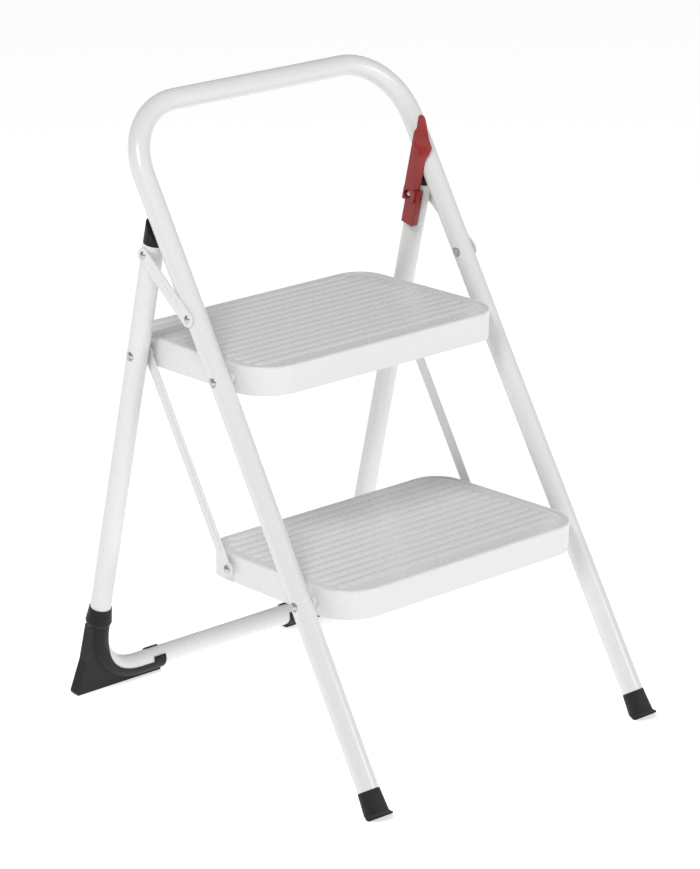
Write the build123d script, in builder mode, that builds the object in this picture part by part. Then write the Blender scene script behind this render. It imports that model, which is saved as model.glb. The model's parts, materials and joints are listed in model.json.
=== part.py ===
from build123d import *
from math import asin, cos, degrees, hypot, radians, sin, sqrt, tan
import os

# A folding household stool with two steps and a round-tube frame.
# Millimetres. +Z is up, +X is the stool's right, and the user climbs towards +Y.
# The origin is on the floor, at the middle of the space that the stool stands in.
# The front frame leans back, the rear frame leans forward, and two steps join them.

# ---------------------------------------------------------------- driving dimensions
TUBE_RADIUS = 12.5
TUBE_WALL = 1.5
RUNNING_GAP = 0.3
STEP_RISE = 229.5
HANDRAIL_HEIGHT = 722.9

FRONT_LEAN = 30.63
FRONT_FOOT_Y = -251.0
FRAME_HALF_WIDTH = 209.5
FRONT_FLARE = 0.0121
FLARE_HEIGHT = 405.0
FLARE_BEND_RADIUS = 400.0
HANDRAIL_BEND_RADIUS = 80.0

REAR_LEAN = 13.2
REAR_FLOOR_Y = 257.0
CROSSBAR_HEIGHT = 16.6
CROSSBAR_BEND_RADIUS = 72.0
REAR_LEG_TOP = 579.0

UPPER_PIVOT_HEIGHT = 441.5
LOWER_PIVOT_HEIGHT = 213.0
LINK_FRONT_HEIGHT = 507.2
LINK_REAR_HEIGHT = 566.4

STEP_HEIGHT = 33.5
STEP_SHEET = 1.2
STEP_TOP_SHEET = 1.4
STEP_RECESS = 1.6
STEP_RIM_WIDTH = 5.0
STEP_EDGE_RADIUS = 2.4
STEP_FRONT_CORNER = 48.0
STEP_REAR_CORNER = 38.0
STEP_FRONT_REACH = 51.5
STEP_REAR_REACH = 194.0
STEP_FRONT_HALF_WIDTH = 192.6
STEP_TAPER = 0.016
RIB_COUNT = 14
RIB_PITCH = 15.5
RIB_WIDTH = 8.6
RIB_HEIGHT = 1.4
RIB_FILLET = 1.3
RIB_END_MARGIN = 17.0
LAST_RIB_FROM_REAR = 10.3

LINK_WIDTH = 17.5
LINK_THICKNESS = 1.7
STRIP_WIDTH = 14.0
STRIP_END_RADIUS = 8.8
STRIP_THICKNESS = 2.4
BEAD_WIDTH = 5.0
BEAD_HEIGHT = 0.9
BEAD_FILLET = 0.8
BEAD_SETBACK = 19.0

RIVET_RADIUS = 3.0
RIVET_HOLE_RADIUS = 3.02
PIVOT_HOLE_RADIUS = 3.06
RIVET_HEAD_RADIUS = 4.75
RIVET_HEAD_HEIGHT = 2.3
RIVET_TAIL_RADIUS = 4.4
RIVET_TAIL_HEIGHT = 1.6
SEAT_GAP = 0.1
DIMPLE_RADIUS = 6.0
DIMPLE_FLOOR = 10.2
DIMPLE_SHEET = 1.0
SPACER_RADIUS = 6.0

FOOT_PLUG_TOP = 30.0
FOOT_RIM_RADIUS = 17.5
FOOT_RIM_THICKNESS = 2.6
FOOT_RIM_LIP = 0.8
FOOT_RIM_DROP = 2.5
FOOT_NECK_RADIUS = 14.6
FOOT_TOP_RADIUS = 12.9
FOOT_SPIGOT = 26.0

COLLAR_RADIUS = 13.6
COLLAR_FLARE_RADIUS = 15.8
COLLAR_TOP = 116.5
COLLAR_LOW = 98.0
COLLAR_TAPER_END = 93.5
WEB_HALF_THICKNESS = 7.5
WEB_TOP_INSET = 0.5
WEB_FLARE = 0.8
WEB_FLARE_HEIGHT = 45.0
SHOE_RADIUS = 14.2
TOE_REACH = 23.0
TOE_RADIUS = 6.0
SOLE_INNER_X = 104.0
HOOK_INNER_X = 101.8
HOOK_WIDTH = 17.5
HOOK_FRONT_TIP = -14.0
HOOK_REAR_TIP = -6.0
SHOE_CLEARANCE = 0.05
SOLE_CUT_DEPTH = -3.0
BARE_START = 9.0
BARE_INSET = 2.2

CAP_LENGTH = 45.0
CAP_TIP_TRIM = 27.0
CAP_SPIGOT = 22.0
CAP_EDGE_RADIUS = 0.8

LATCH_FACE_X = 188.5
LATCH_TAIL_X = 191.5
LATCH_SEAT_X = 192.2
LATCH_OUTER_X = 196.7
LATCH_WRAP_X = 200.8
LATCH_BORE_RADIUS = 5.6
LATCH_FRONT = 11.7
LATCH_BACK = 7.5
LATCH_TAIL_BACK = 4.6
LATCH_WALL_FRONT = 14.2
LATCH_WALL = 1.5
LATCH_TAIL = 37.5
LATCH_EAR = 8.0
LATCH_EAR_RADIUS = 3.0
LATCH_NECK = 8.0
LATCH_GAP = 0.15
LATCH_ROUND = 1.2
LATCH_DISH_RADIUS = 40.0
LATCH_DISH_OUT = 35.5
LATCH_DISH_AT = (-4.5, 76.0)
# The arm's outline as distances across and up the rear leg from the rivet.
LATCH_ARM_FRONT_EDGE = ((-12.7, 30.7), (-11.6, 43.1), (-13.2, 52.3), (-11.8, 72.9), (-8.5, 82.9))
LATCH_ARM_TIP = ((-2.7, 102.9), (1.9, 102.4), (5.1, 99.6), (4.2, 84.6), (7.4, 79.0))

SIDES = (("left", -1), ("right", 1))
ALONG_X = (0, 90, 0)

# ---------------------------------------------------------------- derived places
STEP_RISE_ABOVE_PIVOT = 2 * STEP_RISE - UPPER_PIVOT_HEIGHT
FRONT = Plane(
    origin=(0, FRONT_FOOT_Y, 0),
    x_dir=(1, 0, 0),
    z_dir=(0, -cos(radians(FRONT_LEAN)), sin(radians(FRONT_LEAN))),
)
REAR = Plane(
    origin=(0, REAR_FLOOR_Y, 0),
    x_dir=(1, 0, 0),
    z_dir=(0, -cos(radians(REAR_LEAN)), -sin(radians(REAR_LEAN))),
)


def front_y(height):
    """Y of the front tubes' axis at a height."""
    return FRONT_FOOT_Y + height * tan(radians(FRONT_LEAN))


def rear_y(height):
    """Y of the rear tubes' axis at a height."""
    return REAR_FLOOR_Y - height * tan(radians(REAR_LEAN))


def front_half_width(height):
    """Distance of the front tubes' axis from the middle plane at a height."""
    return FRAME_HALF_WIDTH + FRONT_FLARE * max(FLARE_HEIGHT - height, 0)


def along_front(height):
    """Length up the front frame's plane to a height."""
    return height / cos(radians(FRONT_LEAN))


def along_rear(height):
    """Length up the rear frame's plane to a height."""
    return height / cos(radians(REAR_LEAN))


UPPER_FRONT_PIVOT = (front_y(UPPER_PIVOT_HEIGHT), UPPER_PIVOT_HEIGHT)
UPPER_REAR_PIVOT = (rear_y(UPPER_PIVOT_HEIGHT), UPPER_PIVOT_HEIGHT)
LOWER_FRONT_PIVOT = (front_y(LOWER_PIVOT_HEIGHT), LOWER_PIVOT_HEIGHT)
PIVOT_SPACING = UPPER_REAR_PIVOT[0] - UPPER_FRONT_PIVOT[0]
LOWER_REAR_PIVOT = (LOWER_FRONT_PIVOT[0] + PIVOT_SPACING, LOWER_PIVOT_HEIGHT)
LINK_FRONT_PIVOT = (front_y(LINK_FRONT_HEIGHT), LINK_FRONT_HEIGHT)
LINK_REAR_PIVOT = (rear_y(LINK_REAR_HEIGHT), LINK_REAR_HEIGHT)

LINK_INNER_X = FRAME_HALF_WIDTH + TUBE_RADIUS + RUNNING_GAP
LINK_OUTER_X = LINK_INNER_X + LINK_THICKNESS
STRIP_OUTER_X = FRAME_HALF_WIDTH - TUBE_RADIUS - RUNNING_GAP
STRIP_INNER_X = STRIP_OUTER_X - STRIP_THICKNESS
FLANGE_AT_FRONT_PIVOT = STEP_FRONT_HALF_WIDTH - STEP_TAPER * STEP_FRONT_REACH
FLANGE_AT_REAR_PIVOT = FLANGE_AT_FRONT_PIVOT - STEP_TAPER * PIVOT_SPACING


# ---------------------------------------------------------------- helpers
def save(piece, name):
    """Label a finished piece and write its STEP file."""
    piece.part.label = name
    export_step(piece.part, f"parts/{name}.step")


def across(side, x, place):
    """Plane at a pivot whose normal points outwards, away from the middle of the stool."""
    return Plane(origin=(side * x, place[0], place[1]), x_dir=(0, 1, 0), z_dir=(side, 0, 0))


def pivot_holes(places, radius):
    """Cut a hole along X, right through both sides of the piece in hand, at each place."""
    for place in places:
        with Locations(Location((0, place[0], place[1]), ALONG_X)):
            Cylinder(radius, 4 * FRAME_HALF_WIDTH, mode=Mode.SUBTRACT)


def dome(side, seat_x, place):
    """Round rivet head that sits at seat_x and points outwards."""
    ball_radius = (RIVET_HEAD_RADIUS**2 + RIVET_HEAD_HEIGHT**2) / (2 * RIVET_HEAD_HEIGHT)
    ball_drop = ball_radius - RIVET_HEAD_HEIGHT
    with Locations(across(side, seat_x - ball_drop, place)):
        Sphere(ball_radius, arc_size1=degrees(asin(ball_drop / ball_radius)), align=None)


def shank(side, outer_x, inner_x, place):
    """Plain body of a rivet from outer_x in to inner_x."""
    with Locations(across(side, inner_x, place)):
        Cylinder(RIVET_RADIUS, outer_x - inner_x, align=(Align.CENTER, Align.CENTER, Align.MIN))


def tail(side, seat_x, place):
    """Flattened end of a rivet, inwards of seat_x."""
    with Locations(across(side, seat_x, place)):
        Cylinder(
            RIVET_TAIL_RADIUS, RIVET_TAIL_HEIGHT, align=(Align.CENTER, Align.CENTER, Align.MAX)
        )


def dimple(side, axis_x, place, facing):
    """Press a round cup into a tube, on its outer (facing 1) or its inner (facing -1) side."""
    cup = across(side * facing, facing * axis_x + DIMPLE_FLOOR, place)
    with Locations(cup):
        Cylinder(
            DIMPLE_RADIUS + DIMPLE_SHEET,
            DIMPLE_SHEET,
            align=(Align.CENTER, Align.CENTER, Align.MAX),
        )
        Cylinder(
            DIMPLE_RADIUS,
            TUBE_RADIUS,
            align=(Align.CENTER, Align.CENTER, Align.MIN),
            mode=Mode.SUBTRACT,
        )


def spacer(side, inner_x, outer_x, place):
    """Plain washer on a pivot rivet between a flange and its neighbour."""
    with Locations(across(side, inner_x, place)):
        Cylinder(
            SPACER_RADIUS, outer_x - inner_x, align=(Align.CENTER, Align.CENTER, Align.MIN)
        )


os.makedirs("parts", exist_ok=True)

# ---------------------------------------------------------------- front frame
# One bent tube: two legs that flare a little towards the floor, and the handrail across the top.
foot_half_width = front_half_width(0)

with BuildPart() as front_frame:
    with BuildLine(FRONT) as front_path:
        Polyline(
            (-front_half_width(FOOT_PLUG_TOP), FOOT_PLUG_TOP),
            (-FRAME_HALF_WIDTH, along_front(FLARE_HEIGHT)),
            (-FRAME_HALF_WIDTH, along_front(HANDRAIL_HEIGHT)),
            (FRAME_HALF_WIDTH, along_front(HANDRAIL_HEIGHT)),
            (FRAME_HALF_WIDTH, along_front(FLARE_HEIGHT)),
            (front_half_width(FOOT_PLUG_TOP), FOOT_PLUG_TOP),
        )
        fillet(front_path.vertices().group_by(Axis.Z)[1], radius=FLARE_BEND_RADIUS)
        fillet(front_path.vertices().group_by(Axis.Z)[-1], radius=HANDRAIL_BEND_RADIUS)
    with BuildSketch(front_path.line ^ 0):
        Circle(TUBE_RADIUS)
        Circle(TUBE_RADIUS - TUBE_WALL, mode=Mode.SUBTRACT)
    sweep()
    for _, side in SIDES:
        dimple(side, FRAME_HALF_WIDTH, UPPER_FRONT_PIVOT, 1)
        dimple(side, front_half_width(LOWER_PIVOT_HEIGHT), LOWER_FRONT_PIVOT, 1)
        dimple(side, FRAME_HALF_WIDTH, LINK_FRONT_PIVOT, -1)
    pivot_holes((UPPER_FRONT_PIVOT, LOWER_FRONT_PIVOT, LINK_FRONT_PIVOT), RIVET_HOLE_RADIUS)
save(front_frame, "front_frame")

# ---------------------------------------------------------------- rear frame
# One bent tube: two legs and the bar that joins them just above the floor.
with BuildPart() as rear_frame:
    with BuildLine(REAR) as rear_path:
        FilletPolyline(
            (-FRAME_HALF_WIDTH, along_rear(REAR_LEG_TOP)),
            (-FRAME_HALF_WIDTH, along_rear(CROSSBAR_HEIGHT)),
            (FRAME_HALF_WIDTH, along_rear(CROSSBAR_HEIGHT)),
            (FRAME_HALF_WIDTH, along_rear(REAR_LEG_TOP)),
            radius=CROSSBAR_BEND_RADIUS,
        )
    with BuildSketch(rear_path.line ^ 0):
        Circle(TUBE_RADIUS)
        Circle(TUBE_RADIUS - TUBE_WALL, mode=Mode.SUBTRACT)
    sweep()
    for _, side in SIDES:
        dimple(side, FRAME_HALF_WIDTH, UPPER_REAR_PIVOT, 1)
    pivot_holes((UPPER_REAR_PIVOT, LINK_REAR_PIVOT), RIVET_HOLE_RADIUS)
save(rear_frame, "rear_frame")

# ---------------------------------------------------------------- front feet
# A rubber plug in the end of each front leg, with a flared rim whose sole is cut level with the floor.

for label, side in SIDES:
    leg_direction = FRONT.y_dir - FRONT.x_dir * side * FRONT_FLARE
    leg = Plane(origin=(side * foot_half_width, FRONT_FOOT_Y, 0), z_dir=leg_direction)
    with BuildPart() as front_foot:
        with Locations(leg.offset(-FOOT_RIM_DROP)):
            Cylinder(
                FOOT_RIM_RADIUS, FOOT_RIM_THICKNESS, align=(Align.CENTER, Align.CENTER, Align.MIN)
            )
        with Locations(leg.offset(FOOT_RIM_THICKNESS - FOOT_RIM_DROP)):
            Cone(
                FOOT_RIM_RADIUS - FOOT_RIM_LIP,
                FOOT_NECK_RADIUS,
                FOOT_RIM_THICKNESS,
                align=(Align.CENTER, Align.CENTER, Align.MIN),
            )
        with Locations(leg):
            Cone(
                FOOT_NECK_RADIUS,
                FOOT_TOP_RADIUS,
                FOOT_PLUG_TOP - SEAT_GAP,
                align=(Align.CENTER, Align.CENTER, Align.MIN),
            )
            Cylinder(
                TUBE_RADIUS - TUBE_WALL - SEAT_GAP,
                FOOT_PLUG_TOP + FOOT_SPIGOT,
                align=(Align.CENTER, Align.CENTER, Align.MIN),
            )
        split(bisect_by=Plane.XY, keep=Keep.TOP)
    save(front_foot, f"{label}_front_foot")

# ---------------------------------------------------------------- rear corner feet
# A plastic shoe on each lower corner of the rear frame: a collar round the leg, a web that
# spreads to a toe outside the leg, a level sole, and a hook round the crossbar.
BARE_DIAGONAL = (CROSSBAR_BEND_RADIUS - BARE_INSET) * sqrt(0.5)

for label, side in SIDES:
    leg = Plane(
        origin=(side * FRAME_HALF_WIDTH, REAR_FLOOR_Y, 0), x_dir=(1, 0, 0), z_dir=REAR.y_dir
    )
    bar = (rear_y(CROSSBAR_HEIGHT), CROSSBAR_HEIGHT)
    bend_x = FRAME_HALF_WIDTH - CROSSBAR_BEND_RADIUS
    bend_up = along_rear(CROSSBAR_HEIGHT) + CROSSBAR_BEND_RADIUS
    bare_level = along_rear(CROSSBAR_HEIGHT) + BARE_INSET
    with BuildPart() as rear_foot:
        # a sleeve down the leg, round the bend and in along the bar
        with BuildLine(REAR) as shoe_path:
            FilletPolyline(
                (side * FRAME_HALF_WIDTH, COLLAR_LOW),
                (side * FRAME_HALF_WIDTH, along_rear(CROSSBAR_HEIGHT)),
                (side * HOOK_INNER_X, along_rear(CROSSBAR_HEIGHT)),
                radius=CROSSBAR_BEND_RADIUS,
            )
        with BuildSketch(shoe_path.line ^ 0):
            Circle(SHOE_RADIUS)
        sweep()
        # the web, the toe and the sole
        with BuildSketch(REAR) as web:
            with BuildLine():
                Polyline(
                    (side * (FRAME_HALF_WIDTH + SHOE_RADIUS - WEB_TOP_INSET), COLLAR_TAPER_END),
                    (side * (FRAME_HALF_WIDTH + SHOE_RADIUS + WEB_FLARE), WEB_FLARE_HEIGHT),
                    (side * (FRAME_HALF_WIDTH + TOE_REACH), SOLE_CUT_DEPTH),
                    (side * SOLE_INNER_X, SOLE_CUT_DEPTH),
                    (side * HOOK_INNER_X, along_rear(CROSSBAR_HEIGHT)),
                    (side * bend_x, along_rear(CROSSBAR_HEIGHT)),
                    (side * FRAME_HALF_WIDTH, bend_up),
                    close=True,
                )
            make_face()
            fillet(web.vertices().sort_by(Axis.X)[0 if side < 0 else -1], radius=TOE_RADIUS)
        extrude(amount=WEB_HALF_THICKNESS, both=True)
        # the inside of the bend and the upper half of the bar stay bare
        with BuildSketch(REAR):
            with BuildLine():
                bare_edge = Spline(
                    (side * (FRAME_HALF_WIDTH - BARE_START), COLLAR_TAPER_END),
                    (side * (bend_x + BARE_DIAGONAL), bend_up - BARE_DIAGONAL),
                    (side * bend_x, bare_level),
                    tangents=((0, -1), (-side, 0)),
                )
                Polyline(
                    bare_edge @ 1,
                    (side * SOLE_INNER_X / 2, bare_level),
                    (side * SOLE_INNER_X / 2, COLLAR_TAPER_END),
                    bare_edge @ 0,
                )
            make_face()
        extrude(amount=2 * TUBE_RADIUS, both=True, mode=Mode.SUBTRACT)
        # the collar round the leg
        with Locations(leg.offset(COLLAR_TAPER_END)):
            Cone(
                SHOE_RADIUS,
                COLLAR_FLARE_RADIUS,
                COLLAR_LOW - COLLAR_TAPER_END,
                align=(Align.CENTER, Align.CENTER, Align.MIN),
            )
        with Locations(leg.offset(COLLAR_LOW)):
            Cone(
                COLLAR_FLARE_RADIUS,
                COLLAR_RADIUS,
                COLLAR_TOP - COLLAR_LOW,
                align=(Align.CENTER, Align.CENTER, Align.MIN),
            )
        # the hook round the bar, open at its upper front
        with BuildSketch(
            Plane(origin=(side * HOOK_INNER_X, *bar), x_dir=(0, -1, 0), z_dir=(1, 0, 0))
        ):
            Circle(SHOE_RADIUS)
            with BuildLine():
                Polyline(
                    (0, 0),
                    (2 * SHOE_RADIUS, HOOK_FRONT_TIP),
                    (2 * SHOE_RADIUS, -2 * SHOE_RADIUS),
                    (HOOK_REAR_TIP, -2 * SHOE_RADIUS),
                    close=True,
                )
            make_face(mode=Mode.SUBTRACT)
        extrude(amount=side * HOOK_WIDTH)
        # the space that the tube fills, and the floor
        with BuildLine(REAR) as bore_path:
            FilletPolyline(
                (side * FRAME_HALF_WIDTH, 2 * COLLAR_TOP),
                (side * FRAME_HALF_WIDTH, along_rear(CROSSBAR_HEIGHT)),
                (0, along_rear(CROSSBAR_HEIGHT)),
                radius=CROSSBAR_BEND_RADIUS,
            )
        with BuildSketch(bore_path.line ^ 0):
            Circle(TUBE_RADIUS + SHOE_CLEARANCE)
        sweep(mode=Mode.SUBTRACT)
        split(bisect_by=Plane.XY, keep=Keep.TOP)
    save(rear_foot, f"{label}_rear_foot")

# ---------------------------------------------------------------- rear leg caps
# A plug in the top of each rear leg, cut slantwise to lie against the back of the front tube.

front_back_face = Plane(
    origin=(0, *LINK_FRONT_PIVOT), x_dir=(1, 0, 0), z_dir=-FRONT.z_dir
).offset(TUBE_RADIUS + RUNNING_GAP)

for label, side in SIDES:
    leg_end = Plane(
        origin=(side * FRAME_HALF_WIDTH, rear_y(REAR_LEG_TOP), REAR_LEG_TOP), z_dir=REAR.y_dir
    )
    with BuildPart() as leg_cap:
        with Locations(leg_end.offset(SEAT_GAP)):
            Cylinder(TUBE_RADIUS, CAP_LENGTH, align=(Align.CENTER, Align.CENTER, Align.MIN))
        split(bisect_by=front_back_face, keep=Keep.TOP)
        split(bisect_by=leg_end.offset(CAP_TIP_TRIM), keep=Keep.BOTTOM)
        fillet(leg_cap.faces().sort_by(Axis.Z)[-1].edges(), radius=CAP_EDGE_RADIUS)
        with Locations(leg_end.offset(SEAT_GAP)):
            Cylinder(
                TUBE_RADIUS - TUBE_WALL - SEAT_GAP,
                CAP_SPIGOT,
                align=(Align.CENTER, Align.CENTER, Align.MAX),
            )
        pivot_holes((LINK_REAR_PIVOT,), RIVET_HOLE_RADIUS)
    save(leg_cap, f"{label}_leg_cap")


# ---------------------------------------------------------------- steps
# A tread pressed from sheet steel: a raised rim, a sunken panel with rounded ribs across it,
# and a skirt turned down all round. It is a little narrower at the back.
def tread_half_width(reach):
    """Half width of a tread at a distance behind its front pivots."""
    return FLANGE_AT_FRONT_PIVOT - STEP_TAPER * reach


def tread_corners(inset):
    """Corners of a tread's outline, drawn in by inset, measured from its front pivot line."""
    front = -STEP_FRONT_REACH + inset
    back = STEP_REAR_REACH - inset
    front_half = tread_half_width(front) - inset
    back_half = tread_half_width(back) - inset
    return ((-front_half, front), (front_half, front), (back_half, back), (-back_half, back))


def rib_half_length(reach):
    """Half length of a rib, which ends short of the rim and follows its rounded corners."""
    half_length = tread_half_width(reach) - RIB_END_MARGIN
    for edge, corner in (
        (reach + STEP_FRONT_REACH, STEP_FRONT_CORNER),
        (STEP_REAR_REACH - reach, STEP_REAR_CORNER),
    ):
        depth = corner - (edge - STEP_RIM_WIDTH)
        if depth > 0:
            half_length -= corner - sqrt(corner**2 - min(depth, corner) ** 2)
    return half_length


def make_tread(name, front_pivot, rear_pivot, rear_hole_radius):
    """Build one tread about its two pivot lines and write it."""
    top = Plane(origin=(0, front_pivot[0], front_pivot[1] + STEP_RISE_ABOVE_PIVOT))
    with BuildPart() as tread:
        for inset, level, depth, mode in (
            (0, 0, STEP_HEIGHT, Mode.ADD),
            (STEP_RIM_WIDTH, 0, STEP_RECESS, Mode.SUBTRACT),
            (STEP_SHEET, -STEP_RECESS - STEP_TOP_SHEET, STEP_HEIGHT, Mode.SUBTRACT),
        ):
            with BuildSketch(top.offset(level)) as outline:
                with BuildLine():
                    Polyline(*tread_corners(inset), close=True)
                make_face()
                front_corners = outline.vertices().group_by(Axis.Y)[0]
                fillet(front_corners, radius=STEP_FRONT_CORNER - inset)
                rear_corners = outline.vertices().group_by(Axis.Y)[-1]
                fillet(rear_corners, radius=STEP_REAR_CORNER - inset)
            extrude(amount=-depth, mode=mode)
            if mode == Mode.ADD:
                fillet(tread.faces().sort_by(Axis.Z)[-1].edges(), radius=STEP_EDGE_RADIUS)
        with BuildSketch(top.offset(-STEP_RECESS)):
            for row in range(RIB_COUNT):
                reach = STEP_REAR_REACH - LAST_RIB_FROM_REAR - row * RIB_PITCH
                with Locations((0, reach)):
                    SlotOverall(2 * rib_half_length(reach), RIB_WIDTH)
        extrude(amount=RIB_HEIGHT)
        rib_level = top.origin.Z - STEP_RECESS + RIB_HEIGHT
        rib_tops = tread.faces().filter_by(Axis.Z).filter_by_position(
            Axis.Z, rib_level - SEAT_GAP, rib_level + SEAT_GAP
        )
        fillet(rib_tops.edges(), radius=RIB_FILLET)
        pivot_holes((front_pivot,), PIVOT_HOLE_RADIUS)
        pivot_holes((rear_pivot,), rear_hole_radius)
    save(tread, name)


make_tread("top_step", UPPER_FRONT_PIVOT, UPPER_REAR_PIVOT, PIVOT_HOLE_RADIUS)
make_tread("lower_step", LOWER_FRONT_PIVOT, LOWER_REAR_PIVOT, RIVET_HOLE_RADIUS)


# ---------------------------------------------------------------- links and strips
# Flat steel bars that join the frames and carry the lower step. Each has a bead pressed along it.
def make_bar(name, side, inner_x, thickness, width, end_radius, start, end, hole_radii):
    """Build a bar with a round end at each pivot and its bead facing outwards, and write it."""
    length = hypot(end[0] - start[0], end[1] - start[1])
    bar_plane = Plane(
        origin=(side * inner_x, *start),
        x_dir=(0, end[0] - start[0], end[1] - start[1]),
        z_dir=(side, 0, 0),
    )
    with BuildPart() as bar:
        with BuildSketch(bar_plane):
            with Locations((length / 2, 0)):
                Rectangle(length, width)
            with Locations((0, 0), (length, 0)):
                Circle(end_radius)
        extrude(amount=thickness)
        with BuildSketch(bar_plane.offset(thickness)):
            with Locations((length / 2, 0)):
                SlotOverall(length - 2 * BEAD_SETBACK, BEAD_WIDTH)
        extrude(amount=BEAD_HEIGHT)
        bead_top = bar.faces().filter_by(Axis.X).sort_by(Axis.X)[0 if side < 0 else -1]
        fillet(bead_top.edges(), radius=BEAD_FILLET)
        for place, radius in zip((0, length), hole_radii):
            with BuildSketch(bar_plane):
                with Locations((place, 0)):
                    Circle(radius)
            extrude(amount=thickness, mode=Mode.SUBTRACT)
    save(bar, name)


for label, side in SIDES:
    make_bar(
        f"{label}_link",
        side,
        LINK_INNER_X,
        LINK_THICKNESS,
        LINK_WIDTH,
        LINK_WIDTH / 2,
        LINK_FRONT_PIVOT,
        LINK_REAR_PIVOT,
        (PIVOT_HOLE_RADIUS, RIVET_HOLE_RADIUS),
    )
    make_bar(
        f"{label}_strip",
        side,
        STRIP_INNER_X,
        STRIP_THICKNESS - BEAD_HEIGHT,
        STRIP_WIDTH,
        STRIP_END_RADIUS,
        UPPER_REAR_PIVOT,
        LOWER_REAR_PIVOT,
        (PIVOT_HOLE_RADIUS, PIVOT_HOLE_RADIUS),
    )

# ---------------------------------------------------------------- spacers
# Plain washers that hold the steps' skirts off the tubes and the strips.
skirt_front = FLANGE_AT_FRONT_PIVOT + 2 * SEAT_GAP
skirt_rear = FLANGE_AT_REAR_PIVOT + 2 * SEAT_GAP
strip_face = STRIP_INNER_X - SEAT_GAP
lower_tube_x = front_half_width(LOWER_PIVOT_HEIGHT)
lower_tube_face = lower_tube_x - TUBE_RADIUS - RUNNING_GAP
spacer_sets = (
    ("top_step_spacers", UPPER_FRONT_PIVOT, skirt_front, STRIP_OUTER_X),
    ("lower_step_spacers", LOWER_FRONT_PIVOT, skirt_front, lower_tube_face),
    ("strip_top_spacers", UPPER_REAR_PIVOT, skirt_rear, strip_face),
    ("strip_bottom_spacers", LOWER_REAR_PIVOT, skirt_rear, strip_face),
)
for name, place, inner_x, outer_x in spacer_sets:
    with BuildPart() as washers:
        for _, side in SIDES:
            spacer(side, inner_x, outer_x, place)
        pivot_holes((place,), PIVOT_HOLE_RADIUS)
    save(washers, name)

# ---------------------------------------------------------------- rivets
# Dome-headed steel rivets. Each set has one rivet on either side of the stool.
front_tail = FLANGE_AT_FRONT_PIVOT - STEP_SHEET - 2 * SEAT_GAP
rear_tail = FLANGE_AT_REAR_PIVOT - STEP_SHEET - 2 * SEAT_GAP
upper_cup = FRAME_HALF_WIDTH + DIMPLE_FLOOR
rivet_sets = (
    ("top_step_rivets", UPPER_FRONT_PIVOT, upper_cup, front_tail),
    ("lower_step_rivets", LOWER_FRONT_PIVOT, lower_tube_x + DIMPLE_FLOOR, front_tail),
    ("rear_leg_rivets", UPPER_REAR_PIVOT, upper_cup, rear_tail),
    ("strip_rivets", LOWER_REAR_PIVOT, STRIP_OUTER_X, rear_tail),
    ("link_rivets", LINK_FRONT_PIVOT, LINK_OUTER_X, FRAME_HALF_WIDTH - DIMPLE_FLOOR - SEAT_GAP),
)
for name, place, head_x, tail_x in rivet_sets:
    with BuildPart() as rivets:
        for _, side in SIDES:
            shank(side, head_x + SEAT_GAP, tail_x, place)
            dome(side, head_x + SEAT_GAP, place)
            tail(side, tail_x, place)
    save(rivets, name)

# The rear end of each link carries its own rivet head, because the fold opens this one pivot.
for label, side in SIDES:
    with BuildPart() as head:
        shank(side, LINK_OUTER_X + SEAT_GAP, LINK_INNER_X, LINK_REAR_PIVOT)
        dome(side, LINK_OUTER_X + SEAT_GAP, LINK_REAR_PIVOT)
    save(head, f"{label}_link_rivet")

# The rest of that rivet stays with the rear frame and holds the leg cap. On the right it also
# holds the latch, with a round head on the inside of the stool.
cap_pin_outer = FRAME_HALF_WIDTH + TUBE_RADIUS - SEAT_GAP
cap_pin_inner = FRAME_HALF_WIDTH - TUBE_RADIUS - SEAT_GAP
with BuildPart() as cap_pin:
    shank(-1, cap_pin_outer, cap_pin_inner, LINK_REAR_PIVOT)
    tail(-1, cap_pin_inner, LINK_REAR_PIVOT)
save(cap_pin, "left_cap_pin")

with BuildPart() as latch_rivet:
    shank(1, cap_pin_outer, LATCH_SEAT_X - SEAT_GAP, LINK_REAR_PIVOT)
    dome(-1, SEAT_GAP - LATCH_SEAT_X, LINK_REAR_PIVOT)
save(latch_rivet, "latch_rivet")

# ---------------------------------------------------------------- latch
# A springy plastic catch on the inside of the right rear leg. Its base lies along the leg, wraps
# the front of it and carries the rivet. Its arm reaches up beside the front tube to a finger tip.
# The two meet at a thin living hinge just above the rivet, where the moulding bends.
latch_side = Plane(
    origin=(LATCH_FACE_X, *LINK_REAR_PIVOT), x_dir=-REAR.z_dir, z_dir=(1, 0, 0)
)
latch_section = Plane(
    origin=(0, *LINK_REAR_PIVOT), x_dir=(1, 0, 0), z_dir=REAR.y_dir
).offset(-LATCH_TAIL)

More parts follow.
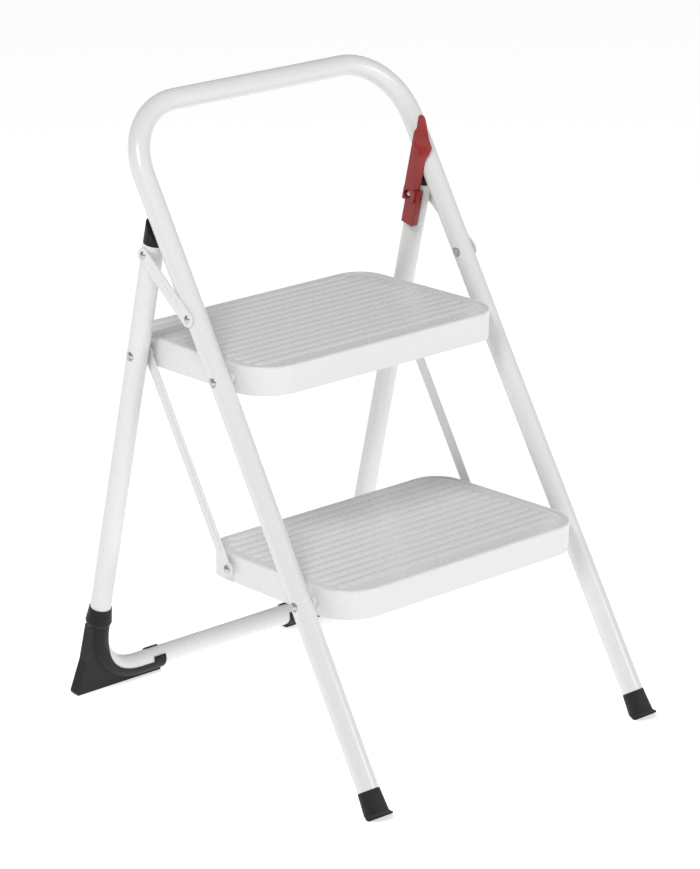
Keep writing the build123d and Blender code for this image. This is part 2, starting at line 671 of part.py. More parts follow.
with BuildPart() as latch_base:
    # the tail, an L in section
    with BuildSketch(latch_section) as tail_section:
        with BuildLine():
            Polyline(
                (LATCH_TAIL_X, LATCH_TAIL_BACK),
                (LATCH_OUTER_X, LATCH_TAIL_BACK),
                (LATCH_OUTER_X, LATCH_WALL - LATCH_WALL_FRONT),
                (LATCH_WRAP_X, LATCH_WALL - LATCH_WALL_FRONT),
                (LATCH_WRAP_X, -LATCH_WALL_FRONT),
                (LATCH_TAIL_X, -LATCH_WALL_FRONT),
                close=True,
            )
        make_face()
        fillet(tail_section.vertices().sort_by(Axis.Y)[:2].sort_by(Axis.X)[0], radius=LATCH_ROUND)
    extrude(amount=LATCH_TAIL + LATCH_NECK)
    # the raised plate round the rivet
    with BuildSketch(latch_side) as plate:
        with BuildLine():
            Polyline(
                (-LATCH_FRONT, -LATCH_EAR),
                (LATCH_BACK, -LATCH_EAR),
                (LATCH_BACK, LATCH_NECK),
                (-LATCH_FRONT, LATCH_NECK),
                close=True,
            )
        make_face()
        fillet(plate.vertices().sort_by(Axis.Z)[1], radius=LATCH_EAR_RADIUS)
    extrude(amount=LATCH_OUTER_X - LATCH_FACE_X)
    pivot_holes((LINK_REAR_PIVOT,), RIVET_HOLE_RADIUS)
    with Locations(across(1, LATCH_FACE_X, LINK_REAR_PIVOT)):
        Cylinder(
            LATCH_BORE_RADIUS,
            LATCH_SEAT_X - LATCH_FACE_X,
            align=(Align.CENTER, Align.CENTER, Align.MIN),
            mode=Mode.SUBTRACT,
        )
save(latch_base, "latch_base")

with BuildPart() as latch_arm:
    with BuildSketch(latch_side) as arm_outline:
        with BuildLine():
            Polyline(
                (-LATCH_FRONT, LATCH_NECK + LATCH_GAP),
                *LATCH_ARM_FRONT_EDGE,
                *LATCH_ARM_TIP,
                (LATCH_BACK, LATCH_NECK + LATCH_GAP),
                close=True,
            )
        make_face()
        fillet(arm_outline.vertices().sort_by(Axis.Z)[-7:], radius=LATCH_ROUND)
    extrude(amount=LATCH_OUTER_X - LATCH_FACE_X)
    # the thumb dish, scooped from the inner face up to the tip
    with Locations(latch_side * Location((LATCH_DISH_AT[0], LATCH_DISH_AT[1], -LATCH_DISH_OUT))):
        Sphere(LATCH_DISH_RADIUS, mode=Mode.SUBTRACT)
save(latch_arm, "latch_arm")
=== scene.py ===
# %% [markdown]
# # A folding step stool
# The stool stands open: a bent front tube with a handrail, a bent rear tube, two pressed treads,
# and a red catch on the right rear leg. The solid pieces come from the CAD frame and stay where
# they are. This script gives them paint, rubber, plastic and steel, adds the fine shapes that a
# solid model leaves out, and sets up the light and the camera.

import json
import math

import bmesh
import bpy
from mathutils import Matrix, Vector


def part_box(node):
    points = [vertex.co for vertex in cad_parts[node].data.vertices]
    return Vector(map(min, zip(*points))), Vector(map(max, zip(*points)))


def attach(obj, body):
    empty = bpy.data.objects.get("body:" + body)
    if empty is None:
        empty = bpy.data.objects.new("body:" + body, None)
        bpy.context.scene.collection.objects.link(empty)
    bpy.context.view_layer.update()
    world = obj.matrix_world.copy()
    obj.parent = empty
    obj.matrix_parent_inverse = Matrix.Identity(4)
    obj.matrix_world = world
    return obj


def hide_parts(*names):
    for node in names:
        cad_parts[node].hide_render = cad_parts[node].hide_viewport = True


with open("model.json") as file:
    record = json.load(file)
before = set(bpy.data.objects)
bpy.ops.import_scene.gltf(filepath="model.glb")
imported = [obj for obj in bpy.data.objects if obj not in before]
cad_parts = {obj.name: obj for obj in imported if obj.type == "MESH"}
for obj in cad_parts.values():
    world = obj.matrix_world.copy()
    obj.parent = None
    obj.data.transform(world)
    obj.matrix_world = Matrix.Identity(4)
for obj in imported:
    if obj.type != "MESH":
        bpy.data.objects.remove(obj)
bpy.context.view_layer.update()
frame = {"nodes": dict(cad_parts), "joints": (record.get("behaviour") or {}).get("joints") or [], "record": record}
nodes = frame["nodes"]
MM = 0.001

# %% [markdown]
# ## Shader groups
# Real paint and plastic are never one flat colour. Three effects come back in several finishes,
# so each one is a node group with named sockets, built once: soft mottling of the colour, wear
# along edges, and dust that settles on what faces up. A group puts out masks and values only,
# and the Principled shader stays in each material.


# %% A helper for node groups
def new_group(name, inputs, outputs):
    """Make an empty shader node group with float inputs and the given outputs."""
    group = bpy.data.node_groups.new(name, "ShaderNodeTree")
    for label, default in inputs:
        socket = group.interface.new_socket(label, in_out="INPUT", socket_type="NodeSocketFloat")
        socket.default_value = default
    for label, kind in outputs:
        group.interface.new_socket(label, in_out="OUTPUT", socket_type=kind)
    return group, group.nodes.new("NodeGroupInput"), group.nodes.new("NodeGroupOutput")


def add_node(tree, kind, **settings):
    """Add a node and set its properties, or its inputs when the name is an input's."""
    node = tree.nodes.new(kind)
    for key, value in settings.items():
        if hasattr(node, key):
            setattr(node, key, value)
        else:
            node.inputs[key.replace("_", " ")].default_value = value
    return node


# %% Mottling
# Two octaves of noise: a broad one for slow drift in the colour, a fine one for the gloss.
def make_mottle_group():
    """Group that puts out a slow and a fine noise mask, both around one half."""
    group, inside, outside = new_group(
        "mottle",
        (("Broad Scale", 9.0), ("Fine Scale", 240.0)),
        (("Broad", "NodeSocketFloat"), ("Fine", "NodeSocketFloat")),
    )
    place = add_node(group, "ShaderNodeTexCoord")
    for label, detail in (("Broad", 3.0), ("Fine", 5.0)):
        noise = add_node(group, "ShaderNodeTexNoise", Detail=detail, Roughness=0.55)
        group.links.new(place.outputs["Object"], noise.inputs["Vector"])
        group.links.new(inside.outputs[f"{label} Scale"], noise.inputs["Scale"])
        group.links.new(noise.outputs["Fac"], outside.inputs[label])
    return group


# %% Edge wear
# A bevel shader reads where the surface turns sharply: the rounded normal differs from the true
# one there. Noise breaks the line up, so that the wear comes in patches.
def make_edge_group():
    """Group that puts out a mask of worn edges."""
    group, inside, outside = new_group(
        "edge_wear",
        (("Radius", 0.0012), ("Amount", 0.5), ("Patch Scale", 60.0)),
        (("Mask", "NodeSocketFloat"),),
    )
    geometry = add_node(group, "ShaderNodeNewGeometry")
    bevel = add_node(group, "ShaderNodeBevel", samples=4)
    group.links.new(inside.outputs["Radius"], bevel.inputs["Radius"])
    dot = add_node(group, "ShaderNodeVectorMath", operation="DOT_PRODUCT")
    group.links.new(geometry.outputs["Normal"], dot.inputs[0])
    group.links.new(bevel.outputs["Normal"], dot.inputs[1])
    turn = add_node(group, "ShaderNodeMapRange")
    turn.inputs["From Min"].default_value = 0.975
    turn.inputs["From Max"].default_value = 0.9
    group.links.new(dot.outputs["Value"], turn.inputs["Value"])
    place = add_node(group, "ShaderNodeTexCoord")
    noise = add_node(group, "ShaderNodeTexNoise", Detail=4.0, Roughness=0.6)
    group.links.new(place.outputs["Object"], noise.inputs["Vector"])
    group.links.new(inside.outputs["Patch Scale"], noise.inputs["Scale"])
    patch = add_node(group, "ShaderNodeMapRange")
    patch.inputs["From Min"].default_value = 0.5
    patch.inputs["From Max"].default_value = 0.68
    group.links.new(noise.outputs["Fac"], patch.inputs["Value"])
    both = add_node(group, "ShaderNodeMath", operation="MULTIPLY")
    group.links.new(turn.outputs["Result"], both.inputs[0])
    group.links.new(patch.outputs["Result"], both.inputs[1])
    scaled = add_node(group, "ShaderNodeMath", operation="MULTIPLY", use_clamp=True)
    group.links.new(both.outputs["Value"], scaled.inputs[0])
    group.links.new(inside.outputs["Amount"], scaled.inputs[1])
    group.links.new(scaled.outputs["Value"], outside.inputs["Mask"])
    return group


# %% Dust
# Dust lies on what faces up. The mask is the upward part of the normal, broken up by noise.
def make_dust_group():
    """Group that puts out a mask of settled dust."""
    group, inside, outside = new_group(
        "dust",
        (("Amount", 0.2), ("Patch Scale", 25.0)),
        (("Mask", "NodeSocketFloat"),),
    )
    geometry = add_node(group, "ShaderNodeNewGeometry")
    parts = add_node(group, "ShaderNodeSeparateXYZ")
    group.links.new(geometry.outputs["Normal"], parts.inputs["Vector"])
    up = add_node(group, "ShaderNodeMapRange")
    up.inputs["From Min"].default_value = 0.4
    up.inputs["From Max"].default_value = 1.0
    group.links.new(parts.outputs["Z"], up.inputs["Value"])
    place = add_node(group, "ShaderNodeTexCoord")
    noise = add_node(group, "ShaderNodeTexNoise", Detail=6.0, Roughness=0.65)
    group.links.new(place.outputs["Object"], noise.inputs["Vector"])
    group.links.new(inside.outputs["Patch Scale"], noise.inputs["Scale"])
    both = add_node(group, "ShaderNodeMath", operation="MULTIPLY")
    group.links.new(up.outputs["Result"], both.inputs[0])
    group.links.new(noise.outputs["Fac"], both.inputs[1])
    scaled = add_node(group, "ShaderNodeMath", operation="MULTIPLY", use_clamp=True)
    group.links.new(both.outputs["Value"], scaled.inputs[0])
    group.links.new(inside.outputs["Amount"], scaled.inputs[1])
    group.links.new(scaled.outputs["Value"], outside.inputs["Mask"])
    return group


mottle = make_mottle_group()
edge_wear = make_edge_group()
dust = make_dust_group()
print("groups:", mottle.name, edge_wear.name, dust.name)

# %% [markdown]
# ## Finishes
# Every finish is the same small recipe with its own numbers: a base colour that drifts, a darker
# or lighter tone on worn edges, a little dust on top, a roughness that varies, and a fine bump.
# Gloss paint has a soft waviness, a faint bump a centimetre or two across. Moulded plastic and
# rubber have a fine grain. Rivet heads are bare steel with small, sharp marks.


# %% The finish recipe
COAT_ROUGHNESS = 0.08
NOISE_LOW, NOISE_HIGH = 0.3, 0.7


def place_group(tree, group, **values):
    """Put a shader group into a material with its own values."""
    node = tree.nodes.new("ShaderNodeGroup")
    node.node_tree = group
    for key, value in values.items():
        node.inputs[key.replace("_", " ")].default_value = value
    return node


def mix_colour(tree, mask, first, second):
    """Mix towards a second colour by a mask. Each colour is a socket or a plain colour."""
    node = tree.nodes.new("ShaderNodeMix")
    node.data_type = "RGBA"
    tree.links.new(mask, node.inputs["Factor"])
    for socket, colour in ((node.inputs[6], first), (node.inputs[7], second)):
        if hasattr(colour, "is_output"):
            tree.links.new(colour, socket)
        else:
            socket.default_value = (*colour, 1.0)
    return node.outputs[2]


def make_finish(
    name,
    colour,
    deep,
    worn,
    roughness,
    metallic=0.0,
    coat=0.0,
    broad=9.0,
    fine=240.0,
    wear=0.4,
    dusty=0.15,
    bump_scale=300.0,
    bump_height=0.00002,
    bump_strength=0.3,
    specular=0.5,
):
    """Make one procedural finish. Roughness is a pair: its lowest and highest value."""
    material = bpy.data.materials.new(name)
    material.use_nodes = True
    tree = material.node_tree
    shader = tree.nodes["Principled BSDF"]
    drift = place_group(tree, mottle, Broad_Scale=broad, Fine_Scale=fine)
    edges = place_group(tree, edge_wear, Amount=wear)
    settled = place_group(tree, dust, Amount=dusty)
    tone = mix_colour(tree, drift.outputs["Broad"], colour, deep)
    tone = mix_colour(tree, edges.outputs["Mask"], tone, worn)
    tone = mix_colour(tree, settled.outputs["Mask"], tone, DUST_COLOUR)
    tree.links.new(tone, shader.inputs["Base Color"])
    rough = tree.nodes.new("ShaderNodeMapRange")
    rough.inputs["From Min"].default_value = NOISE_LOW
    rough.inputs["From Max"].default_value = NOISE_HIGH
    rough.inputs["To Min"].default_value, rough.inputs["To Max"].default_value = roughness
    tree.links.new(drift.outputs["Fine"], rough.inputs["Value"])
    tree.links.new(rough.outputs["Result"], shader.inputs["Roughness"])
    place = tree.nodes.new("ShaderNodeTexCoord")
    grain = tree.nodes.new("ShaderNodeTexNoise")
    grain.inputs["Scale"].default_value = bump_scale
    grain.inputs["Detail"].default_value = 3.0
    tree.links.new(place.outputs["Object"], grain.inputs["Vector"])
    bump = tree.nodes.new("ShaderNodeBump")
    bump.inputs["Strength"].default_value = bump_strength
    bump.inputs["Distance"].default_value = bump_height
    tree.links.new(grain.outputs["Fac"], bump.inputs["Height"])
    tree.links.new(bump.outputs["Normal"], shader.inputs["Normal"])
    shader.inputs["Metallic"].default_value = metallic
    shader.inputs["Specular IOR Level"].default_value = specular
    shader.inputs["Coat Weight"].default_value = coat
    shader.inputs["Coat Roughness"].default_value = COAT_ROUGHNESS
    return material


# %% The finishes
DUST_COLOUR = (0.55, 0.53, 0.5)
finishes = {
    "white_paint": make_finish(
        "white_paint",
        colour=(0.78, 0.78, 0.775),
        deep=(0.77, 0.77, 0.765),
        worn=(0.55, 0.54, 0.52),
        roughness=(0.25, 0.28),
        coat=0.3,
        wear=0.15,
        dusty=0.03,
        bump_scale=40.0,
        bump_height=0.00002,
        bump_strength=0.03,
    ),
    "black_plastic": make_finish(
        "black_plastic",
        colour=(0.010, 0.010, 0.011),
        deep=(0.016, 0.016, 0.017),
        worn=(0.09, 0.09, 0.09),
        roughness=(0.36, 0.5),
        wear=0.5,
        dusty=0.08,
        bump_scale=900.0,
        bump_height=0.00005,
        bump_strength=0.4,
        specular=0.2,
    ),
    "black_rubber": make_finish(
        "black_rubber",
        colour=(0.016, 0.016, 0.016),
        deep=(0.026, 0.025, 0.024),
        worn=(0.08, 0.078, 0.075),
        roughness=(0.5, 0.68),
        wear=0.6,
        dusty=0.12,
        bump_scale=700.0,
        bump_height=0.00008,
        bump_strength=0.5,
        specular=0.2,
    ),
    "red_plastic": make_finish(
        "red_plastic",
        colour=(0.31, 0.020, 0.014),
        deep=(0.25, 0.015, 0.011),
        worn=(0.48, 0.1, 0.07),
        roughness=(0.26, 0.4),
        wear=0.35,
        dusty=0.05,
        bump_scale=800.0,
        bump_height=0.00004,
        bump_strength=0.3,
    ),
    "rivet_steel": make_finish(
        "rivet_steel",
        colour=(0.62, 0.62, 0.61),
        deep=(0.45, 0.45, 0.45),
        worn=(0.8, 0.8, 0.79),
        roughness=(0.16, 0.32),
        metallic=1.0,
        broad=160.0,
        fine=900.0,
        wear=0.3,
        dusty=0.03,
        bump_scale=1400.0,
        bump_height=0.00006,
        bump_strength=0.35,
    ),
}
for row in frame["record"]["subparts"]:
    mesh = nodes[row["node"]].data
    mesh.materials.clear()
    mesh.materials.append(finishes[row["material_slot"]])
print("finishes:", sorted(finishes))

# %% [markdown]
# ## The ribs of the treads
# Each tread is pressed with rounded ribs, so that a shoe grips it. They could be an array of one
# object, but their ends follow the tread's rounded corners, so every row has its own length.
# Geometry Nodes can say that as a rule: a line of points, one bead, and a length worked out at
# each point. One tree makes the ribs of both treads, and its inputs are their sizes.

# %% Sizes of the ribs
TREAD_TAPER = 0.016
RIB_SIZES = {
    "Rows": 14,
    "Pitch": 15.5 * MM,
    "Rear Gap": 10.3 * MM,
    "Width": 14.0 * MM,
    "Height": 1.65 * MM,
    "End Margin": 14.0 * MM,
    "Taper": TREAD_TAPER,
    "Front Corner": 48.0 * MM,
    "Rear Corner": 38.0 * MM,
    "Rim": 5.0 * MM,
}
RIB_RECESS = 1.6 * MM
RIB_ROOT = 0.3 * MM
RIB_END = 0.04
RIB_END_LEAST = 0.15
BEAD_CELLS = (41, 13, 2)


def calculate(tree, operation, *values):
    """Add a Math node on numbers or sockets and give its result."""
    node = tree.nodes.new("ShaderNodeMath")
    node.operation = operation
    for socket, value in zip(node.inputs, values):
        if isinstance(value, (int, float)):
            socket.default_value = value
        else:
            tree.links.new(value, socket)
    return node.outputs["Value"]


# %% One bead
# The bead starts as a block two units wide each way. Its top is bent to half an ellipse, and
# its plan narrows over the last few hundredths of its length.
def make_bead(tree, inside):
    """Nodes of one rib, from -1 to 1 across the stool and at its real width and height."""
    block = tree.nodes.new("GeometryNodeMeshCube")
    block.inputs["Size"].default_value = (2.0, 2.0, 2.0)
    for label, count in zip("XYZ", BEAD_CELLS):
        block.inputs[f"Vertices {label}"].default_value = count
    position = tree.nodes.new("GeometryNodeInputPosition")
    parts = tree.nodes.new("ShaderNodeSeparateXYZ")
    tree.links.new(position.outputs["Position"], parts.inputs["Vector"])
    quarter = math.pi / 2
    along = calculate(tree, "SINE", calculate(tree, "MULTIPLY", parts.outputs["X"], quarter))
    reach = calculate(tree, "SUBTRACT", calculate(tree, "ABSOLUTE", along), 1.0 - RIB_END)
    reach = calculate(tree, "MAXIMUM", calculate(tree, "DIVIDE", reach, RIB_END), 0.0)
    end = calculate(tree, "SUBTRACT", 1.0, calculate(tree, "MULTIPLY", reach, reach))
    end = calculate(tree, "SQRT", calculate(tree, "MAXIMUM", end, RIB_END_LEAST**2))
    turn = calculate(tree, "MULTIPLY", parts.outputs["Y"], quarter)
    half = calculate(tree, "MULTIPLY", inside.outputs["Width"], 0.5)
    across = calculate(tree, "MULTIPLY", calculate(tree, "SINE", turn), half)
    across = calculate(tree, "MULTIPLY", across, end)
    rise = calculate(tree, "MULTIPLY", calculate(tree, "COSINE", turn), inside.outputs["Height"])
    rise = calculate(tree, "MULTIPLY", rise, end)
    is_top = calculate(tree, "GREATER_THAN", parts.outputs["Z"], 0.0)
    is_root = calculate(tree, "SUBTRACT", 1.0, is_top)
    level = calculate(
        tree,
        "SUBTRACT",
        calculate(tree, "MULTIPLY", rise, is_top),
        calculate(tree, "MULTIPLY", is_root, RIB_ROOT),
    )
    shaped = tree.nodes.new("ShaderNodeCombineXYZ")
    for label, value in zip("XYZ", (along, across, level)):
        tree.links.new(value, shaped.inputs[label])
    move = tree.nodes.new("GeometryNodeSetPosition")
    tree.links.new(block.outputs["Mesh"], move.inputs["Geometry"])
    tree.links.new(shaped.outputs["Vector"], move.inputs["Position"])
    smooth = tree.nodes.new("GeometryNodeSetShadeSmooth")
    tree.links.new(move.outputs["Geometry"], smooth.inputs["Geometry"])
    return smooth.outputs["Geometry"]


# %% The rows
# A row is shortened where it passes a rounded corner of the rim, by the corner's own circle.
def corner_cut(tree, distance, corner, rim):
    """How much a rounded corner takes off a row at a distance from the tread's edge."""
    depth = calculate(tree, "SUBTRACT", calculate(tree, "ADD", corner, rim), distance)
    depth = calculate(tree, "MINIMUM", calculate(tree, "MAXIMUM", depth, 0.0), corner)
    squares = (calculate(tree, "MULTIPLY", value, value) for value in (corner, depth))
    return calculate(
        tree, "SUBTRACT", corner, calculate(tree, "SQRT", calculate(tree, "SUBTRACT", *squares))
    )


def make_rib_tree():
    """Geometry Nodes tree that lays the ribs of one tread, from its rear edge to its front."""
    tree = bpy.data.node_groups.new("tread_ribs", "GeometryNodeTree")
    tree.is_modifier = True
    tree.interface.new_socket("Geometry", in_out="OUTPUT", socket_type="NodeSocketGeometry")
    tree.interface.new_socket("Rows", in_out="INPUT", socket_type="NodeSocketInt")
    for label in (*list(RIB_SIZES)[1:], "Rear Edge", "Front Edge", "Half Width", "Level"):
        tree.interface.new_socket(label, in_out="INPUT", socket_type="NodeSocketFloat")
    inside = tree.nodes.new("NodeGroupInput")
    size = inside.outputs
    start = tree.nodes.new("ShaderNodeCombineXYZ")
    first = calculate(tree, "SUBTRACT", size["Rear Edge"], size["Rear Gap"])
    tree.links.new(first, start.inputs["Y"])
    tree.links.new(size["Level"], start.inputs["Z"])
    step = tree.nodes.new("ShaderNodeCombineXYZ")
    tree.links.new(calculate(tree, "MULTIPLY", size["Pitch"], -1.0), step.inputs["Y"])
    line = tree.nodes.new("GeometryNodeMeshLine")
    tree.links.new(size["Rows"], line.inputs["Count"])
    tree.links.new(start.outputs["Vector"], line.inputs["Start Location"])
    tree.links.new(step.outputs["Vector"], line.inputs["Offset"])
    position = tree.nodes.new("GeometryNodeInputPosition")
    parts = tree.nodes.new("ShaderNodeSeparateXYZ")
    tree.links.new(position.outputs["Position"], parts.inputs["Vector"])
    from_rear = calculate(tree, "SUBTRACT", size["Rear Edge"], parts.outputs["Y"])
    from_front = calculate(tree, "SUBTRACT", parts.outputs["Y"], size["Front Edge"])
    length = calculate(tree, "SUBTRACT", size["Half Width"], size["End Margin"])
    for loss in (
        calculate(tree, "MULTIPLY", from_front, size["Taper"]),
        corner_cut(tree, from_rear, size["Rear Corner"], size["Rim"]),
        corner_cut(tree, from_front, size["Front Corner"], size["Rim"]),
    ):
        length = calculate(tree, "SUBTRACT", length, loss)
    stretch = tree.nodes.new("ShaderNodeCombineXYZ")
    tree.links.new(length, stretch.inputs["X"])
    stretch.inputs["Y"].default_value = 1.0
    stretch.inputs["Z"].default_value = 1.0
    place = tree.nodes.new("GeometryNodeInstanceOnPoints")
    tree.links.new(line.outputs["Mesh"], place.inputs["Points"])
    tree.links.new(make_bead(tree, inside), place.inputs["Instance"])
    tree.links.new(stretch.outputs["Vector"], place.inputs["Scale"])
    realize = tree.nodes.new("GeometryNodeRealizeInstances")
    tree.links.new(place.outputs["Instances"], realize.inputs["Geometry"])
    paint = tree.nodes.new("GeometryNodeSetMaterial")
    paint.inputs["Material"].default_value = finishes["white_paint"]
    tree.links.new(realize.outputs["Geometry"], paint.inputs["Geometry"])
    outside = tree.nodes.new("NodeGroupOutput")
    tree.links.new(paint.outputs["Geometry"], outside.inputs["Geometry"])
    return tree


rib_tree = make_rib_tree()
print("rib tree:", len(rib_tree.nodes), "nodes")


# %% Lay the ribs
def lay_ribs(name, tread, body):
    """Make the ribs of one tread as a plain mesh that rides its body."""
    low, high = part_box(tread)
    sizes = {
        **RIB_SIZES,
        "Rear Edge": high.y,
        "Front Edge": low.y,
        "Half Width": (high.x - low.x) / 2 + TREAD_TAPER * RIB_SIZES["Front Corner"],
        "Level": high.z - RIB_RECESS,
    }
    ribs = bpy.data.objects.new(name, bpy.data.meshes.new(name))
    bpy.context.scene.collection.objects.link(ribs)
    modifier = ribs.modifiers.new("ribs", "NODES")
    modifier.node_group = rib_tree
    for item in rib_tree.interface.items_tree:
        if item.in_out == "INPUT":
            modifier[item.identifier] = sizes[item.name]
    depsgraph = bpy.context.evaluated_depsgraph_get()
    mesh = bpy.data.meshes.new_from_object(ribs.evaluated_get(depsgraph), depsgraph=depsgraph)
    ribs.modifiers.remove(modifier)
    ribs.data = mesh
    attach(ribs, body)
    print(name, len(mesh.polygons), "faces")


lay_ribs("top_step_ribs", "top_step", "top_tread")
lay_ribs("lower_step_ribs", "lower_step", "lower_tread")

# %% [markdown]
# ## The latch's arm
# The arm is one moulding with no flat sides: its inner face narrows into a scooped thumb dish,
# and a lip reaches out over the front of the front tube, which locks the stool open. It could be
# carved from a block, but its shape is easier to say as slices up the arm. Each slice has eight
# corners, the slices between are drawn smoothly, and a small bevel rounds the edges as moulding
# does. The slices are measured from the latch's rivet, across and up the rear leg.

# %% Slices of the arm
catch_joint = next(j for j in frame["joints"] if j["name"] == "latch_flex")
across_leg = -Vector(catch_joint["axis"])
up_leg = Vector((0.0, -across_leg.z, across_leg.y))
rivet_low, rivet_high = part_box("latch_rivet")
rivet_centre = (rivet_low + rivet_high) / 2
arm_low, arm_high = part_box("latch_arm")
INNER_X = arm_low.x / MM
OUTER_X = arm_high.x / MM
# height, rear edge, dish edge, dish middle x and y, lip x, lip front, lip back
ARM_SLICES = (
    (8.15, 7.5, -8.5, 192.4, -10.4, 196.7, -12.2, -10.0),
    (20.0, 7.5, -8.3, 192.6, -10.6, 196.7, -12.5, -10.0),
    (30.0, 7.5, -8.2, 192.7, -10.5, 196.7, -12.7, -10.0),
    (43.0, 7.5, -8.0, 192.8, -9.9, 196.7, -12.0, -9.6),
    (50.0, 7.5, -7.9, 193.0, -9.8, 197.6, -12.8, -10.6),
    (54.0, 7.5, -7.2, 193.4, -9.0, 199.6, -13.0, -9.4),
    (58.0, 7.5, -3.6, 193.8, -7.2, 202.8, -12.6, -7.6),
    (62.0, 7.5, 0.2, 194.0, -5.2, 205.0, -11.6, -5.2),
    (66.0, 7.5, 2.8, 194.0, -3.6, 203.4, -10.6, -1.4),
    (72.0, 7.5, 3.8, 193.8, -2.2, 200.2, -9.8, 1.0),
    (79.0, 7.4, 3.9, 193.2, -1.2, 198.0, -8.8, 1.5),
    (84.6, 4.6, 2.6, 192.2, -1.0, 196.6, -7.4, 0.0),
    (92.0, 4.7, 2.0, 191.2, -1.0, 195.2, -5.2, 1.0),
    (99.0, 4.6, 1.6, 190.3, -0.6, 193.6, -3.0, 1.2),
    (102.4, 2.6, 0.6, 189.6, -0.6, 191.8, -1.6, 0.6),
)


def smooth_between(rows, steps):
    """Rows with steps smooth rows drawn in each gap, by a Catmull-Rom curve through each column."""
    drawn = []
    for i in range(len(rows) - 1):
        before, start, end, after = (rows[max(0, min(len(rows) - 1, i + k))] for k in (-1, 0, 1, 2))
        for step in range(steps):
            t = step / steps
            drawn.append(
                tuple(
                    b + 0.5 * t * ((c - a) + t * (2 * a - 5 * b + 4 * c - d + t * (3 * (b - c) + d - a)))
                    for a, b, c, d in zip(before, start, end, after)
                )
            )
    return drawn + [rows[-1]]


def arm_corners(height, rear, dish_edge, middle_x, middle, lip_x, lip_front, lip_back):
    """Eight corners of a slice of the arm, in metres."""
    corners = (
        (INNER_X, rear - 0.5),
        (INNER_X + 1.2, rear + 0.4),
        (min(OUTER_X, lip_x), rear),
        (min(OUTER_X, lip_x), min(lip_back + 1.2, rear - 0.6)),
        (lip_x, lip_back),
        (lip_x, lip_front),
        (middle_x, middle),
        (INNER_X, dish_edge),
    )
    base = Vector((0.0, rivet_centre.y, rivet_centre.z))
    return [
        base + Vector((x * MM, 0.0, 0.0)) + across_leg * (y * MM) + up_leg * (height * MM)
        for x, y in corners
    ]


# %% Build the arm
def mesh_from_loops(name, loops):
    """Closed mesh through equal loops of points, capped at both ends."""
    count = len(loops[0])
    points = [p for loop in loops for p in loop]
    faces = [
        (
            row * count + k,
            row * count + (k + 1) % count,
            (row + 1) * count + (k + 1) % count,
            (row + 1) * count + k,
        )
        for row in range(len(loops) - 1)
        for k in range(count)
    ]
    faces.append(tuple(range(count)))
    faces.append(tuple(range(len(points) - count, len(points))))
    mesh = bpy.data.meshes.new(name)
    mesh.from_pydata(points, [], faces)
    shape = bmesh.new()
    shape.from_mesh(mesh)
    bmesh.ops.recalc_face_normals(shape, faces=shape.faces)
    shape.to_mesh(mesh)
    shape.free()
    piece = bpy.data.objects.new(name, mesh)
    bpy.context.scene.collection.objects.link(piece)
    return piece


ARM_STEPS = 4
ARM_ROUNDING = 0.5 * MM
ARM_SHARP_ANGLE = math.radians(24)
arm_loops = [arm_corners(*row) for row in smooth_between(ARM_SLICES, ARM_STEPS)]
arm = mesh_from_loops("catch_arm", arm_loops)
arm.data.materials.append(finishes["red_plastic"])
for polygon in arm.data.polygons:
    polygon.use_smooth = True
rounding = arm.modifiers.new("moulded_edges", "BEVEL")
rounding.width = ARM_ROUNDING
rounding.segments = 3
rounding.limit_method = "ANGLE"
rounding.angle_limit = ARM_SHARP_ANGLE
rounding.harden_normals = False
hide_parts("latch_arm")
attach(arm, "catch")
print("catch arm:", len(arm.data.vertices), "points")

# %% [markdown]
# ## Light
# A product shot on white: a soft light from the upper left, a weaker and wider one from the front
# right, and an even surrounding. The floor is pale and plain, and glows a little, so that it stays
# white without a stronger light on the stool.

# %% Floor and light
FLOOR_HALF = 60.0
FLOOR_LEVEL = -0.0005
FLOOR_WHITE = 0.9
FLOOR_ROUGHNESS = 0.9
WORLD_STRENGTH = 0.4
FLOOR_GLOW = 0.58
floor_mesh = bpy.data.meshes.new("floor")
floor_mesh.from_pydata(
    [(x * FLOOR_HALF, y * FLOOR_HALF, FLOOR_LEVEL) for x, y in ((-1, -1), (1, -1), (1, 1), (-1, 1))],
    [],
    [(0, 1, 2, 3)],
)
floor = bpy.data.objects.new("floor", floor_mesh)
bpy.context.scene.collection.objects.link(floor)
floor_material = bpy.data.materials.new("floor_white")
floor_material.use_nodes = True
floor_shader = floor_material.node_tree.nodes["Principled BSDF"]
floor_shader.inputs["Base Color"].default_value = (FLOOR_WHITE, FLOOR_WHITE, FLOOR_WHITE, 1.0)
floor_shader.inputs["Roughness"].default_value = FLOOR_ROUGHNESS
floor_shader.inputs["Emission Color"].default_value = (1.0, 1.0, 1.0, 1.0)
floor_shader.inputs["Emission Strength"].default_value = FLOOR_GLOW
floor_mesh.materials.append(floor_material)

world = bpy.data.worlds.new("studio")
bpy.context.scene.world = world
world.use_nodes = True
world.node_tree.nodes["Background"].inputs["Color"].default_value = (1.0, 1.0, 1.0, 1.0)
world.node_tree.nodes["Background"].inputs["Strength"].default_value = WORLD_STRENGTH
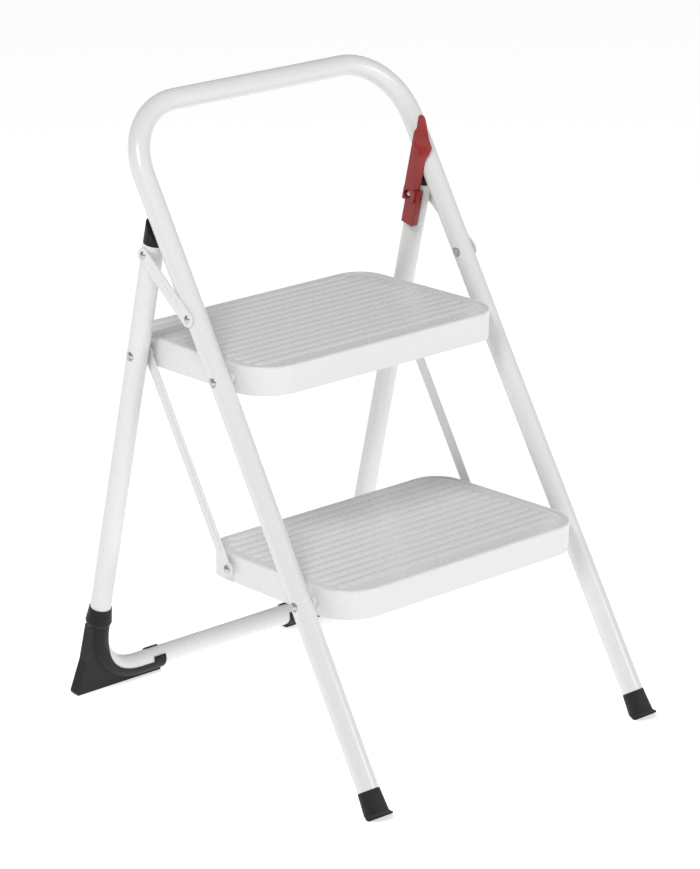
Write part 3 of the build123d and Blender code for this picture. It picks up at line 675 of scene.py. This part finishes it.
# what the camera sees directly is white, while the object is lit by the weaker surrounding
backdrop = world.node_tree.nodes.new("ShaderNodeBackground")
backdrop.inputs["Strength"].default_value = 1.0
sight = world.node_tree.nodes.new("ShaderNodeLightPath")
choice = world.node_tree.nodes.new("ShaderNodeMixShader")
world.node_tree.links.new(sight.outputs["Is Camera Ray"], choice.inputs[0])
world.node_tree.links.new(world.node_tree.nodes["Background"].outputs[0], choice.inputs[1])
world.node_tree.links.new(backdrop.outputs[0], choice.inputs[2])
world.node_tree.links.new(choice.outputs[0], world.node_tree.nodes["World Output"].inputs[0])


def add_soft_light(name, place, target, size, power):
    """Add a square area light at place that shines at target."""
    lamp = bpy.data.lights.new(name, "AREA")
    lamp.size = size
    lamp.energy = power
    light = bpy.data.objects.new(name, lamp)
    light.location = place
    light.rotation_euler = (Vector(target) - Vector(place)).to_track_quat("-Z", "Y").to_euler()
    bpy.context.scene.collection.objects.link(light)


stool_middle = (0.0, 0.0, 0.35)
KEY_PLACE, KEY_SIZE, KEY_POWER = (-1.7, -0.6, 2.6), 0.7, 30.0
FILL_PLACE, FILL_SIZE, FILL_POWER = (1.2, -3.0, 1.2), 1.2, 24.0
add_soft_light("key", KEY_PLACE, stool_middle, KEY_SIZE, KEY_POWER)
add_soft_light("fill", FILL_PLACE, stool_middle, FILL_SIZE, FILL_POWER)
print("lights: key, fill and a white surrounding")

# %% [markdown]
# ## Camera
# The lens is long, as in a product shot, and looks down a little from the front left.

# %% Camera
CAMERA_HEADING = math.radians(43.107)
CAMERA_DOWN = math.radians(17.90)
CAMERA_PLACE = (-2.80285, -2.97189, 1.65468)
SENSOR_WIDTH = 36.0
LENS_LENGTH = 153.55
camera_data = bpy.data.cameras.new("camera")
camera_data.sensor_width = SENSOR_WIDTH
camera_data.lens = LENS_LENGTH
camera = bpy.data.objects.new("camera", camera_data)
camera.location = CAMERA_PLACE
look = Vector(
    (
        math.sin(CAMERA_HEADING) * math.cos(CAMERA_DOWN),
        math.cos(CAMERA_HEADING) * math.cos(CAMERA_DOWN),
        -math.sin(CAMERA_DOWN),
    )
)
camera.rotation_mode = "QUATERNION"
camera.rotation_quaternion = look.to_track_quat("-Z", "Y")
bpy.context.scene.collection.objects.link(camera)
bpy.context.scene.camera = camera
bpy.context.scene.view_settings.view_transform = "Standard"
print("camera at", CAMERA_PLACE)
